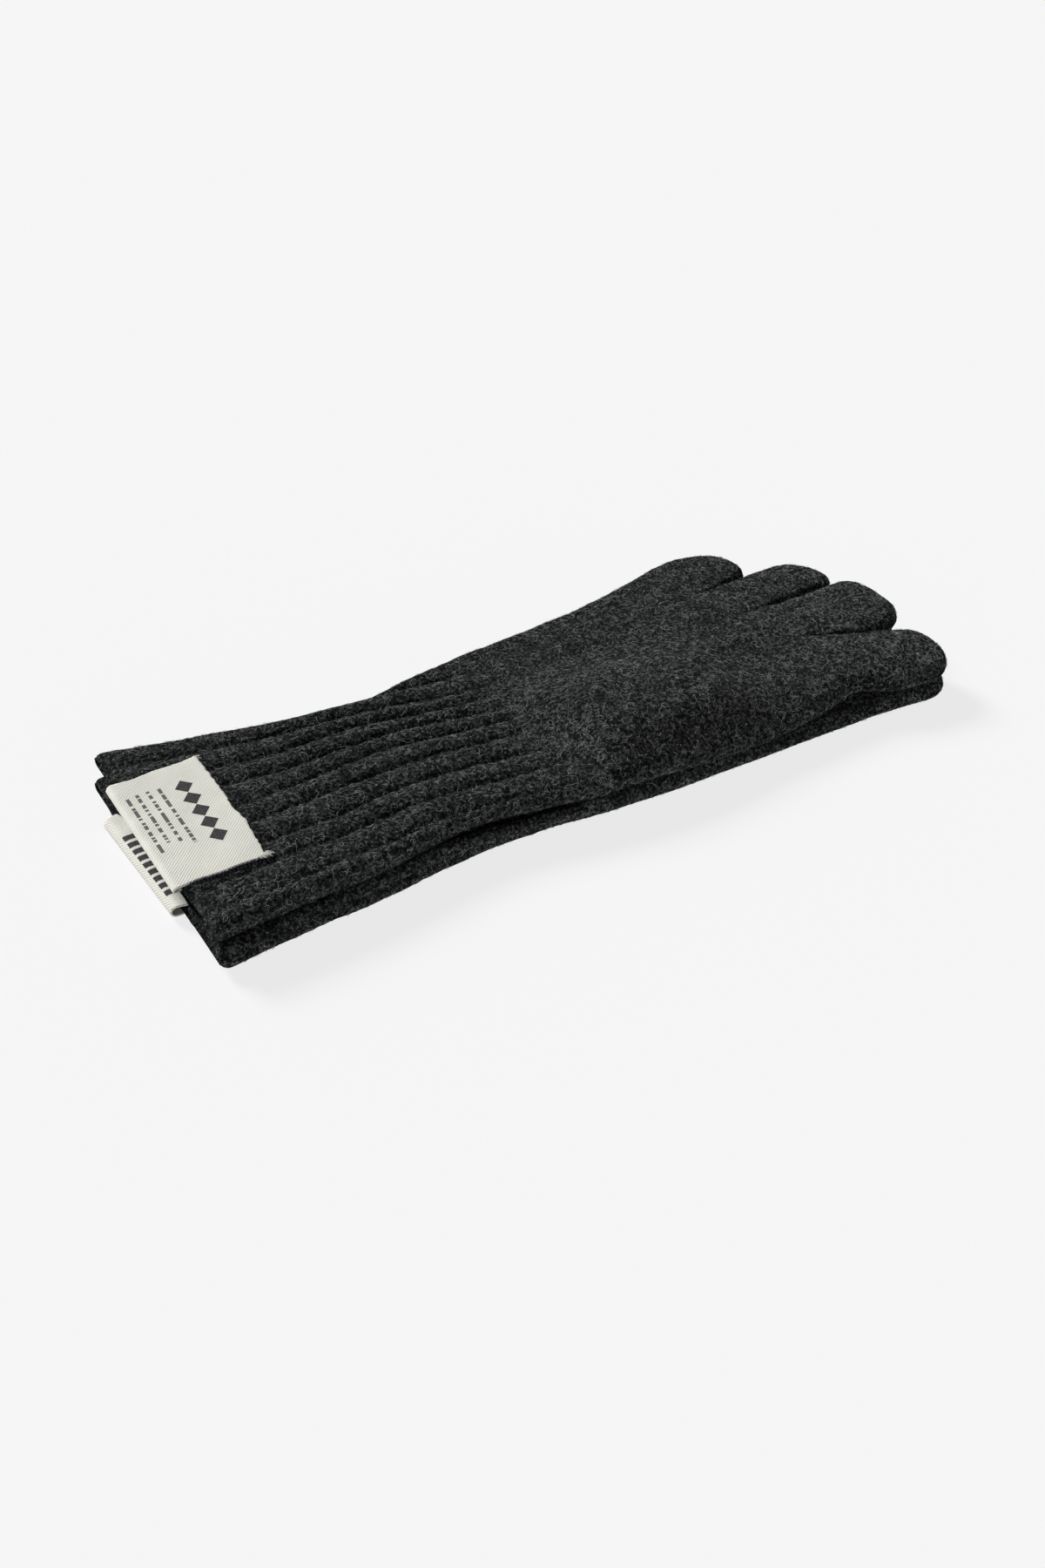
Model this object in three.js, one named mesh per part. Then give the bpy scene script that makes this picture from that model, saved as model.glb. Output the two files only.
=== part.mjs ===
// A pair of long ribbed wool gloves, laid flat palm to palm, the upper glove on the lower one. Every finger
// stall, hand and cuff is a hollow flattened tube of knitted cloth. Millimetres, +X from the cuffs to the
// fingertips, +Z up. Places are first measured from the cuff's edge (along) and from the glove's middle
// (side, with the little finger at the positive side), and the pair is then centred on its own box.
import * as THREE from 'three';

const TOUCH = 0.3; // air between pieces that lie on each other
const CUFF_LENGTH = 116;
const FINGER_ROOT = 196; // where the stalls leave the hand
const CUFF_THICK = 9.4; // one flattened cuff
const HAND_THICK = 7.4; // one flattened hand or stall
const CUFF_WALL = 1.8;
const HAND_WALL = 1.5;

// Outline of the hand and cuff: [along, side]
const LITTLE_EDGE = [
  [0, 47], [30, 41.5], [60, 36], [88, 33.2], [118, 37.5], [150, 41], [175, 44.5], [196, 50.5],
];
const THUMB_EDGE = [[0, -47], [45, -43.5], [90, -40], [125, -44.5], [160, -46.5], [196, -46]];

// Finger stalls: tip along the glove, radius of the round tip, and the two edges as [along, side]
const FINGERS = [
  {
    name: 'little', tip: 235.5, round: 13,
    little: [[196, 50.5], [216, 53], [236, 52.5]],
    thumb: [[196, 29.2], [236, 32.4]],
  },
  {
    name: 'ring', tip: 257, round: 12,
    little: [[196, 27.8], [236, 31], [258, 31]],
    thumb: [[196, 10.2], [258, 11.8]],
  },
  {
    name: 'middle', tip: 267.5, round: 15,
    little: [[196, 8.8], [268, 10.4]],
    thumb: [[196, -7.3], [210, -8], [240, -17], [268, -18.4]],
  },
  {
    name: 'index', tip: 264.5, round: 15,
    little: [[196, -8.7], [210, -9.4], [240, -18.4], [266, -20.4]],
    thumb: [[196, -46], [240, -49], [266, -48]],
  },
];

// Thumb stalls, folded flat between the palms, and the upper palm that drapes over them: it is raised in
// full up to past and between the two shoulders, and comes down to the lower glove at the two hems
const THUMB = { length: 46, rootWidth: 21, tipWidth: 17, thick: 3.6, root: 133, side: -22, turn: 0.09 };
const DRAPE = { past: 176, shoulders: [-34, -10], hem: [-47, 16] };

// Ribs of the cuff
const RIBS = 9; // across one face
const RIB_DEPTH = 0.8;
const RIB_FADE = 92; // the ribs fade out from here to the end of the cuff
const RIB_STEPS = 4; // points over one rib

// Woven label, folded over the edge of the cuff's outer face
const LABEL = { outer: 24.5, inner: 9, overhang: 4, side: 1.7, width: 53, thick: 0.6 };
const SEAM = { length: 24, width: 0.9 };
const LABEL_RAMP = [30, 55]; // the lower cuff comes down from its label to the table along this stretch

const HAND_STEPS = 16; // points across one face of a hand
const STALL_STEPS = 7; // points across one face of a stall
const FLATNESS = 8; // how flat the faces of a tube lie, and how late they round over to its side edges

const WOOL = new THREE.MeshStandardMaterial({ color: 0x2c2e2f, roughness: 0.95, metalness: 0 });
const TWILL = new THREE.MeshStandardMaterial({ color: 0xd8d4c6, roughness: 0.85, metalness: 0 });
const THREAD = new THREE.MeshStandardMaterial({ color: 0x1f2333, roughness: 0.8, metalness: 0 });

const { smoothstep, lerp } = THREE.MathUtils;

// A smooth line through [place, value] stops
function lineThrough(stops) {
  const places = stops.map((stop) => stop[0]);
  const values = stops.map((stop) => stop[1]);
  const line = new THREE.CubicInterpolant(places, values, 1);
  return (place) => line.evaluate(place)[0];
}

const littleEdge = lineThrough(LITTLE_EDGE);
const thumbEdge = lineThrough(THUMB_EDGE);

// Thickness of one glove, from the thick ribbed cuff to the thinner hand
function thickness(along) {
  return lerp(CUFF_THICK, HAND_THICK, smoothstep(along, CUFF_LENGTH, THUMB.root));
}

// The lower cuff lies on its label near the opening, and on the table from there on
function lowerBottom(along) {
  return (LABEL.thick + TOUCH) * (1 - smoothstep(along, ...LABEL_RAMP));
}

// How far the upper palm is raised by the two thumb stalls under it
function lift(along, side) {
  const height = 2 * (THUMB.thick + TOUCH);
  const cuffEnd = smoothstep(along, CUFF_LENGTH, THUMB.root);
  const fingerEnd = 1 - smoothstep(along, DRAPE.past, FINGER_ROOT);
  const thumbSide = smoothstep(side, DRAPE.hem[0], DRAPE.shoulders[0]);
  const littleSide = 1 - smoothstep(side, DRAPE.shoulders[1], DRAPE.hem[1]);
  return height * cuffEnd * fingerEnd * thumbSide * littleSide;
}

// Height of the middle of each glove's cloth
const MIDDLE = {
  lower: (along) => lowerBottom(along) + thickness(along) / 2,
  upper: (along, side) => lowerBottom(along) + 1.5 * thickness(along) + TOUCH + lift(along, side),
};

// One flattened ring of points around a tube: over its top from the thumb side, then back under it
function ring(along, centre, halfWidth, halfThick, middle, fractions, groove) {
  const top = [];
  const bottom = [];
  fractions.forEach((fraction) => {
    const side = centre + fraction * halfWidth;
    const half = halfThick * Math.sqrt(1 - Math.abs(fraction) ** FLATNESS) - groove(along, fraction);
    const height = middle(along, side);
    top.push(new THREE.Vector3(along, side, height + Math.max(half, 0)));
    bottom.push(new THREE.Vector3(along, side, height - Math.max(half, 0)));
  });
  return [...top, ...bottom.slice(1, -1).reverse()];
}

// Places from -1 to 1 across a face, closer together at its two edges
function roundedSteps(count) {
  return Array.from({ length: count + 1 }, (_, i) => -Math.cos((Math.PI * i) / count));
}

// Places from -1 to 1 across a face, all as far apart
function evenSteps(count) {
  return Array.from({ length: count + 1 }, (_, i) => (2 * i) / count - 1);
}

// A face with no ribs
function plain() {
  return 0;
}

// Depth of the valley between ribs, none at the two side edges, fading out at the wrist
function ribGroove(along, fraction) {
  const valley = 0.5 + 0.5 * Math.cos(Math.PI * RIBS * (fraction + 1));
  const fade = 1 - smoothstep(along, RIB_FADE, CUFF_LENGTH);
  const sideEdge = 1 - Math.abs(fraction) ** 12;
  return RIB_DEPTH * valley * fade * sideEdge;
}

function signedVolume(points, faces) {
  return faces.reduce((sum, [a, b, c]) => sum + points[a].dot(points[b].clone().cross(points[c])), 0) / 6;
}

// A closed body from rings of equal count: either the last ring joins the first, or both ends are capped
function bodyOfRings(rings, joined) {
  const count = rings[0].length;
  const points = rings.flat();
  const faces = [];
  const bands = joined ? rings.length : rings.length - 1;
  for (let r = 0; r < bands; r++) {
    const here = r * count;
    const next = ((r + 1) % rings.length) * count;
    for (let i = 0; i < count; i++) {
      const j = (i + 1) % count;
      faces.push([here + i, here + j, next + j], [here + i, next + j, next + i]);
    }
  }
  if (!joined) {
    const last = (rings.length - 1) * count;
    for (let i = 1; i < count - 1; i++) {
      faces.push([0, i + 1, i], [last, last + i, last + i + 1]);
    }
  }
  const outward = signedVolume(points, faces) > 0;
  const geometry = new THREE.BufferGeometry().setFromPoints(points);
  geometry.setIndex(faces.flatMap(([a, b, c]) => (outward ? [a, b, c] : [a, c, b])));
  return geometry;
}

// A hollow tube open at both ends, following the glove's outline. Its outer and inner faces have their own
// places along the glove.
function openTube(outer, inner, wall, middle, fractions, groove) {
  const rings = (places, inset, depth) => places.map((along) => {
    const centre = (littleEdge(along) + thumbEdge(along)) / 2;
    const halfWidth = (littleEdge(along) - thumbEdge(along)) / 2 - inset;
    return ring(along, centre, halfWidth, thickness(along) / 2 - inset, middle, fractions, depth);
  });
  return bodyOfRings([...rings(outer, 0, groove), ...rings(inner, wall, plain).reverse()], true);
}

function cuff(middle) {
  const end = CUFF_LENGTH - TOUCH / 2;
  const outer = [0, LABEL_RAMP[0], 42, LABEL_RAMP[1], 72, RIB_FADE, 104, end];
  const inner = [0, LABEL_RAMP[0], 42, LABEL_RAMP[1], 80, end];
  return openTube(outer, inner, CUFF_WALL, middle, evenSteps(RIBS * RIB_STEPS), ribGroove);
}

function hand(middle) {
  const start = CUFF_LENGTH + TOUCH / 2;
  const end = FINGER_ROOT - TOUCH / 2;
  const outer = [start, 120, 124, 128, THUMB.root, 155, DRAPE.past, 182, 189, end];
  const inner = [start, 120, 124, 128, THUMB.root, DRAPE.past, 182, 189, end];
  return openTube(outer, inner, HAND_WALL, middle, roundedSteps(HAND_STEPS), plain);
}

// How much of the full size is left near a round tip
function roundOff(along, tip, radius) {
  const past = Math.max(0, along - (tip - radius)) / radius;
  return Math.sqrt(Math.max(0, 1 - past * past));
}

// A finger stall: a flattened tube with a round closed tip, open at its root into the hand
function stall(finger, middle) {
  const little = lineThrough(finger.little);
  const thumb = lineThrough(finger.thumb);
  const fractions = roundedSteps(STALL_STEPS);
  const rings = (inset) => {
    const tip = finger.tip - 2 * inset;
    const start = FINGER_ROOT + TOUCH / 2;
    const straight = [0, 0.5, 1].map((part) => lerp(start, tip - finger.round, part));
    const turned = [0.5, 0.95, 1.35].map((angle) => tip - finger.round * (1 - Math.sin(angle)));
    return [...straight, ...turned].map((along) => {
      const centre = (little(along) + thumb(along)) / 2;
      const halfWidth = ((little(along) - thumb(along)) / 2 - inset) * roundOff(along, tip, finger.round);
      const halfThick = (HAND_THICK / 2 - inset) * roundOff(along, tip + 0.1, finger.round / 2);
      return ring(along, centre, halfWidth, halfThick, middle, fractions, plain);
    });
  };
  return bodyOfRings([...rings(HAND_WALL).reverse(), ...rings(0)], false);
}

// A thumb stall, folded flat: its two faces lie together, so it is one thin body
function thumbStall() {
  const fractions = roundedSteps(STALL_STEPS);
  const rounds = { root: 4, tip: 9 };
  const root = [0.15, 0.6, 1.1, 1.5].map((angle) => rounds.root * (1 - Math.cos(angle)));
  const tip = [0, 0.5, 1, 1.4].map((angle) => THUMB.length - rounds.tip * (1 - Math.sin(angle)));
  const rings = [...root, THUMB.length / 2, ...tip].map((along) => {
    const width = lerp(THUMB.rootWidth, THUMB.tipWidth, along / THUMB.length);
    const tipRound = roundOff(along, THUMB.length, rounds.tip);
    const rootRound = roundOff(rounds.root - along, rounds.root, rounds.root);
    const left = Math.min(tipRound, rootRound);
    const halfWidth = (width / 2) * lerp(0.3, 1, left);
    return ring(along, 0, halfWidth, (THUMB.thick / 2) * Math.sqrt(left), () => 0, fractions, plain);
  });
  return bodyOfRings(rings, false);
}

// The label's section along the glove: a strip folded round the cuff's edge, its outer leaf on top
function label() {
  const outerRadius = (CUFF_WALL + 2 * TOUCH + 2 * LABEL.thick) / 2;
  const innerRadius = outerRadius - LABEL.thick;
  const bend = outerRadius - LABEL.overhang;
  const strip = new THREE.Shape();
  strip.moveTo(LABEL.outer, outerRadius);
  strip.lineTo(bend, outerRadius);
  strip.absarc(bend, 0, outerRadius, Math.PI / 2, 1.5 * Math.PI, false);
  strip.lineTo(LABEL.inner, -outerRadius);
  strip.lineTo(LABEL.inner, -innerRadius);
  strip.lineTo(bend, -innerRadius);
  strip.absarc(bend, 0, innerRadius, 1.5 * Math.PI, Math.PI / 2, true);
  strip.lineTo(LABEL.outer, innerRadius);
  strip.closePath();
  const across = { depth: LABEL.width, bevelEnabled: false, curveSegments: 8 };
  const folded = new THREE.ExtrudeGeometry(strip, across);
  folded.rotateX(Math.PI / 2);
  folded.translate(0, LABEL.side + LABEL.width / 2, -outerRadius);
  return folded;
}

// One row of stitches at a short end of the label
function seam() {
  return new THREE.BoxGeometry(SEAM.length, SEAM.width, LABEL.thick);
}

function piece(name, geometry, material) {
  const mesh = new THREE.Mesh(geometry, material);
  mesh.name = name;
  return mesh;
}

// The label and its two seams, with the top of the outer leaf at the group's height
function labelGroup(glove) {
  const group = new THREE.Group();
  const seamAlong = (LABEL.outer + LABEL.thick) / 2;
  const seamOff = (LABEL.width + SEAM.width) / 2 + TOUCH;
  group.add(piece(`${glove}_label`, label(), TWILL));
  [['far', 1], ['near', -1]].forEach(([end, sign]) => {
    const row = piece(`${glove}_label_seam_${end}`, seam(), THREAD);
    row.position.set(seamAlong, LABEL.side + sign * seamOff, -LABEL.thick / 2);
    group.add(row);
  });
  return group;
}

function glove(name) {
  const middle = MIDDLE[name];
  const group = new THREE.Group();
  group.add(piece(`${name}_cuff`, cuff(middle), WOOL));
  group.add(piece(`${name}_hand`, hand(middle), WOOL));
  FINGERS.forEach((finger) => {
    group.add(piece(`${name}_${finger.name}_finger`, stall(finger, middle), WOOL));
  });
  const thumb = piece(`${name}_thumb`, thumbStall(), WOOL);
  const under = name === 'lower' ? 0 : 1; // thumb stalls under this one
  const height = HAND_THICK + (under + 1) * TOUCH + (under + 0.5) * THUMB.thick;
  thumb.position.set(THUMB.root, THUMB.side, height);
  thumb.rotation.z = THUMB.turn;
  group.add(thumb);
  const tag = labelGroup(name);
  if (name === 'upper') {
    tag.position.z = middle(0, 0) + CUFF_THICK / 2 + TOUCH + LABEL.thick;
  } else {
    tag.scale.z = -1;
  }
  group.add(tag);
  return group;
}

const pair = new THREE.Group();
pair.add(glove('lower'), glove('upper'));
pair.updateMatrixWorld(true);
const box = new THREE.Box3().setFromObject(pair);
pair.position.set(-(box.min.x + box.max.x) / 2, -(box.min.y + box.max.y) / 2, -box.min.z);

export default pair;
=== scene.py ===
"""A pair of long ribbed wool gloves, lying palm to palm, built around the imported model."""

import math

import bpy
import numpy as np
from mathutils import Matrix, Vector
from mathutils.bvhtree import BVHTree


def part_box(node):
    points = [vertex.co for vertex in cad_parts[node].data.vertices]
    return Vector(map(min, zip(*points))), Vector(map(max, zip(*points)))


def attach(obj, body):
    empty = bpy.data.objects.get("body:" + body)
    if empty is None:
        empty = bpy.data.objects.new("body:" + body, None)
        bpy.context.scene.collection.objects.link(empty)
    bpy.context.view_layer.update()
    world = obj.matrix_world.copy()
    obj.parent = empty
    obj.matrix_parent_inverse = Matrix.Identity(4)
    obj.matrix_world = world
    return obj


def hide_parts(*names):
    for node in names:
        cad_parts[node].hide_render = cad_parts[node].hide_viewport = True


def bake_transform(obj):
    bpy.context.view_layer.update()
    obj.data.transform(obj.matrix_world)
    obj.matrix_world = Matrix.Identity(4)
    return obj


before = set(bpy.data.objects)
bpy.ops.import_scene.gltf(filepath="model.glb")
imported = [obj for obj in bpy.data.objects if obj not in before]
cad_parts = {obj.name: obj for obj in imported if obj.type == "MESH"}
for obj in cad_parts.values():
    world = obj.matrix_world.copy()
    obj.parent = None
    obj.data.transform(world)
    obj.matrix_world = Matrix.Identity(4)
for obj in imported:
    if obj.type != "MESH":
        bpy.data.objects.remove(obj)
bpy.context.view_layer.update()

# ---------------------------------------------------------------------------
# Driving dimensions, in millimetres. Places are measured along the glove from
# the cuff's edge (u), across it from the cuff's middle, the little finger at
# the positive side (v), and up from the table (z).
# ---------------------------------------------------------------------------
MM = 0.001
CUFF_LOW, CUFF_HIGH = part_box("upper_cuff")
ORIGIN = Vector((CUFF_LOW.x, (CUFF_LOW.y + CUFF_HIGH.y) / 2, 0.0))

CUFF_EDGE = -0.8
WRIST = (CUFF_HIGH.x - CUFF_LOW.x) / MM  # the cuff's end
ROOT = (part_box("upper_middle_finger")[0].x - CUFF_LOW.x) / MM  # where the finger stalls leave the hand
HAND_THICK = 7.4  # one glove, lying flat
HAND_WALL = 1.6
TOUCH = 0.3
THUMB_THICK = 3.6
LABEL_THICK = 0.5

# Outlines [u, v]: the side of the little finger, and the side of the thumb
FAR_EDGE = {
    "upper": [(0, 49.4), (22, 43.6), (42, 38.9), (64, 34.9), (88, 33.6), (116, 38.8), (145, 40.6),
              (174, 43.8), (ROOT, 49.0), (209, 52.6)],
    "lower": [(0, 47.4), (24, 43.4), (44, 39.0), (64, 35.4), (88, 33.4), (118, 38.2), (150, 40.6),
              (174, 43.4), (ROOT, 48.6), (209, 52.0)],
}
NEAR_EDGE = {
    "upper": [(0, -45.2), (45, -41.8), (90, -37.8), (121, -43.6), (146, -45.6), (172, -46.2), (ROOT, -44.8),
              (214, -43.0)],
    "lower": [(0, -48.0), (45, -43.8), (90, -39.9), (125, -43.4), (150, -45.0), (ROOT, -45.6), (214, -46.2)],
}
# The stalls meet along these lines [u, v], from the little finger to the index finger
PARTINGS = [
    [(ROOT, 28.4), (213, 28.4), (236, 32.2)],
    [(ROOT, 9.4), (212, 9.3), (258, 11.6)],
    [(ROOT, -6.6), (209, -6.0), (231, -14.4), (246, -19.6), (268, -17.6)],
]
OUTER_SIDES = {
    "upper": {
        "little": [(ROOT, 49.0), (209, 52.6), (220, 53.4), (236, 51.0)],
        "index": [(ROOT, -44.8), (214, -43.0), (224.5, -41.2), (238, -46.4), (258, -49.0), (266, -48.4)],
    },
    "lower": {
        "little": [(ROOT, 48.6), (209, 52.0), (220, 53.2), (236, 51.0)],
        "index": [(ROOT, -45.6), (214, -46.2), (240, -47.0), (258, -49.0), (264, -48.6)],
    },
}
# tip, length of the rounded tip, squareness of its outline, how much further it reaches at its thumb side
STALLS = {
    "little": (236.6, 12.0, 2.4, 3.0),
    "ring": (258.8, 12.0, 2.5, 4.0),
    "middle": (267.0, 10.0, 2.5, 0.4),
    "index": (263.4, 14.0, 2.3, 0.6),
}
FINGERS = list(STALLS)

# The valleys between the ribs on the upper face of a cuff: how many, the distance between them and the
# middle of the row, both along the glove, and how far the middle ones bow sideways at the cuff's two ends
VALLEY_COUNT = 8
VALLEY_PITCH = [(0, 10.7), (40, 9.5), (97, 8.3), (137, 8.0)]
VALLEY_MIDDLE = [(0, -0.7), (40, -3.7), (80, -4.8), (120, -11.4), (137, -13.2)]
VALLEY_BOW = (-3.0, 4.3)
RIBS = 19  # round the whole cuff
FIBRE_STEPS = 6
FIBRES = 0.36  # to the square millimetre
STEP = 0.75  # spacing of the fine mesh
COARSE = 3.5  # spacing of the inside faces

UPPER, LOWER = "upper", "lower"


# ---------------------------------------------------------------------------
# Small tools
# ---------------------------------------------------------------------------
def smooth(x, low, high):
    t = np.clip((np.asarray(x, float) - low) / (high - low), 0, 1)
    return t * t * (3 - 2 * t)


def mix(a, b, t):
    return a + (b - a) * t


def line(stops):
    """A smooth curve through [place, value] stops, as a function of place."""
    xs = np.array([s[0] for s in stops], float)
    ys = np.array([s[1] for s in stops], float)
    slopes = np.gradient(ys, xs)

    def at(x):
        x = np.clip(np.asarray(x, float), xs[0], xs[-1])
        i = np.clip(np.searchsorted(xs, x) - 1, 0, len(xs) - 2)
        h = xs[i + 1] - xs[i]
        t = (x - xs[i]) / h
        a = 2 * t**3 - 3 * t**2 + 1
        b = t**3 - 2 * t**2 + t
        c = -2 * t**3 + 3 * t**2
        d = t**3 - t**2
        return a * ys[i] + b * h * slopes[i] + c * ys[i + 1] + d * h * slopes[i + 1]

    return at


def make_noise(seed, cells=64):
    """Smooth value noise of three coordinates, repeating far away, from -1 to 1."""
    table = np.random.default_rng(seed).uniform(-1, 1, (cells, cells, cells))

    def at(x, y, z):
        p = [np.asarray(c, float) + 1000.0 for c in np.broadcast_arrays(x, y, z)]
        low = [np.floor(c).astype(int) for c in p]
        t = [c - f for c, f in zip(p, low)]
        t = [f * f * (3 - 2 * f) for f in t]
        total = 0.0
        for i in (0, 1):
            for j in (0, 1):
                for k in (0, 1):
                    w = (t[0] if i else 1 - t[0]) * (t[1] if j else 1 - t[1]) * (t[2] if k else 1 - t[2])
                    corner = tuple((f + step) % cells for f, step in zip(low, (i, j, k)))
                    total = total + w * table[corner]
        return total

    return at


noise = make_noise(7)


# ---------------------------------------------------------------------------
# The cloth's shape
# ---------------------------------------------------------------------------
far_edge = {g: line(s) for g, s in FAR_EDGE.items()}
near_edge = {g: line(s) for g, s in NEAR_EDGE.items()}
partings = [line(s) for s in PARTINGS]
pitch, row_middle = line(VALLEY_PITCH), line(VALLEY_MIDDLE)


def valley(number, u):
    """Where a valley between two ribs lies across the cuff, counted from the thumb's side."""
    last = VALLEY_COUNT - 1
    bow = mix(*VALLEY_BOW, smooth(u, 0, 80)) * math.sin(math.pi * number / last)
    return float(row_middle(u) + (number - last / 2) * pitch(u) + bow)


outer_sides = {g: {f: line(s) for f, s in d.items()} for g, d in OUTER_SIDES.items()}


def lower_bottom(u):
    return 0.9 * (1 - smooth(u, 30, 55))


def lift(u, v):
    """How far the two folded thumbs raise the upper palm."""
    height = 2 * (THUMB_THICK + TOUCH)
    along = smooth(u, 118, 138) * (1 - smooth(u, 172, 206))
    thumb_side = smooth(v, -47, -26)
    little_side = 1 - smooth(v, -13, 19)
    return height * along * thumb_side * little_side


def pinch(u, v):
    """How much the thumb's side of the hands is pressed flat, from 0 to 1."""
    return smooth(u, 140, 190) * (1 - 0.55 * smooth(u, 202, 236)) * (1 - smooth(v, -48, -32))


def press(glove, points):
    """Presses the thumb's side of the hands down, the upper glove following the lower one."""
    squeeze = 0.30 * pinch(points[:, 0], points[:, 1])
    if glove == LOWER:
        points[:, 2] *= 1 - squeeze
        return points
    rest = HAND_THICK + TOUCH
    above = points[:, 2] - rest
    points[:, 2] = rest + above * (1 - 0.5 * squeeze) - HAND_THICK * squeeze
    return points


def middle_height(glove, u, v):
    """Height of the middle of a glove's two layers of cloth."""
    if glove == LOWER:
        return lower_bottom(u) + HAND_THICK / 2
    dent = 0.8 * np.exp(-(((u - 131) / 7) ** 2) - ((v + 20) / 9) ** 2)
    swell = 0.5 * noise(u / 34, v / 26, 3.1) * smooth(u, 112, 130)
    return lower_bottom(u) + 1.5 * HAND_THICK + TOUCH + lift(u, v) - dent + swell


def section(half_width, half_thick, radius, top_count, side_count):
    """A rounded rectangle as (y, z, outward y, outward z), from the thumb side over the top, round the little
    finger's side, back under it, and round the thumb side."""
    r = np.minimum(radius, half_thick * 0.999)
    flat = np.linspace(-1, 1, top_count)
    top = [(flat * (half_width - r)), np.full(top_count, half_thick), np.zeros(top_count), np.ones(top_count)]
    quarter = r * math.pi / 2
    straight = 2 * (half_thick - r)
    path = np.linspace(0, 2 * quarter + straight, side_count + 2)[1:-1]
    y, z, ny, nz = [], [], [], []
    for s in path:
        if s < quarter:
            a = s / max(r, 1e-9)
            point = (half_width - r + r * math.sin(a), half_thick - r + r * math.cos(a),
                     math.sin(a), math.cos(a))
        elif s < quarter + straight:
            point = (half_width, half_thick - r - (s - quarter), 1.0, 0.0)
        else:
            a = (s - quarter - straight) / max(r, 1e-9)
            point = (half_width - r + r * math.cos(a), -half_thick + r - r * math.sin(a),
                     math.cos(a), -math.sin(a))
        y.append(point[0])
        z.append(point[1])
        ny.append(point[2])
        nz.append(point[3])
    side = [np.array(c) for c in (y, z, ny, nz)]
    bottom = [top[0][::-1], -top[1], top[2], -top[3]]
    back = [-side[0][::-1], side[1][::-1], -side[2][::-1], side[3][::-1]]
    return [np.concatenate(c) for c in zip(top, side, bottom, back)]


def rib_height(glove, u, around, total, centre):
    """Height of the ribs: around is the distance round the tube from the middle of its top face."""
    seed = 11.0 if glove == UPPER else 47.0
    knots = [valley(number, u) - centre for number in range(VALLEY_COUNT)]
    knots = np.array([*knots, knots[0] + total])
    counts = np.append(np.arange(VALLEY_COUNT), RIBS)
    place = knots[0] + (around - knots[0]) % total
    phase = np.interp(place, knots, counts)
    phase = phase + 0.10 * noise(u / 24, np.round(phase) * 3.7, seed)
    rib = np.floor(phase)
    wave = np.abs(np.sin(math.pi * phase)) ** 0.62
    ends = 121 + 8 * noise(rib * 5.3, seed, 0.5)
    size = mix(1.3, 2.2, smooth(u, 5, 60)) * (1 - smooth(u, ends - 16, ends + 9))
    return size * (wave - 0.74)


def grid_faces(rings, count, closed=True):
    """Quads between rings of equal count."""
    r = np.arange(rings - 1)[:, None]
    i = np.arange(count if closed else count - 1)[None, :]
    j = (i + 1) % count
    a = r * count + i
    b = r * count + j
    return np.stack([a, b, b + count, a + count], -1).reshape(-1, 4)


def new_mesh(name, points, faces, uv=None):
    """A mesh object from points in millimetres (u, v, z) and faces."""
    mesh = bpy.data.meshes.new(name)
    place = np.asarray(points, float) * MM + np.array(ORIGIN)
    mesh.from_pydata(place.tolist(), [], [list(map(int, f)) for f in faces])
    mesh.validate()
    mesh.polygons.foreach_set("use_smooth", [True] * len(mesh.polygons))
    if uv is not None:
        layer = mesh.uv_layers.new(name="cloth")
        loops = np.zeros(len(mesh.loops), np.int32)
        mesh.loops.foreach_get("vertex_index", loops)
        layer.data.foreach_set("uv", (np.asarray(uv, float)[loops] * MM).ravel().astype(np.float32))
    mesh.update()
    ob = bpy.data.objects.new(name, mesh)
    bpy.context.scene.collection.objects.link(ob)
    return ob


def face_out(ob):
    """Turns the faces outward if the closed mesh is inside out."""
    co = np.zeros(len(ob.data.vertices) * 3)
    ob.data.vertices.foreach_get("co", co)
    co = co.reshape(-1, 3)
    ob.data.calc_loop_triangles()
    tri = np.zeros(len(ob.data.loop_triangles) * 3, np.int32)
    ob.data.loop_triangles.foreach_get("vertices", tri)
    tri = tri.reshape(-1, 3)
    volume = np.einsum("ij,ij->i", co[tri[:, 0]], np.cross(co[tri[:, 1]], co[tri[:, 2]])).sum()
    if volume < 0:
        ob.data.flip_normals()
    return ob


def crease(ob, rings):
    """Keeps the shading of each face apart along these rings of vertices."""
    starts = {}
    for first, count in rings:
        for i in range(count):
            a, b = first + i, first + (i + 1) % count
            starts[(min(a, b), max(a, b))] = True
    mesh = ob.data
    ends = np.zeros(len(mesh.edges) * 2, np.int32)
    mesh.edges.foreach_get("vertices", ends)
    sharp = [(min(a, b), max(a, b)) in starts for a, b in ends.reshape(-1, 2).tolist()]
    attribute = mesh.attributes.get("sharp_edge") or mesh.attributes.new("sharp_edge", "BOOLEAN", "EDGE")
    attribute.data.foreach_set("value", sharp)
    return ob


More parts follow.
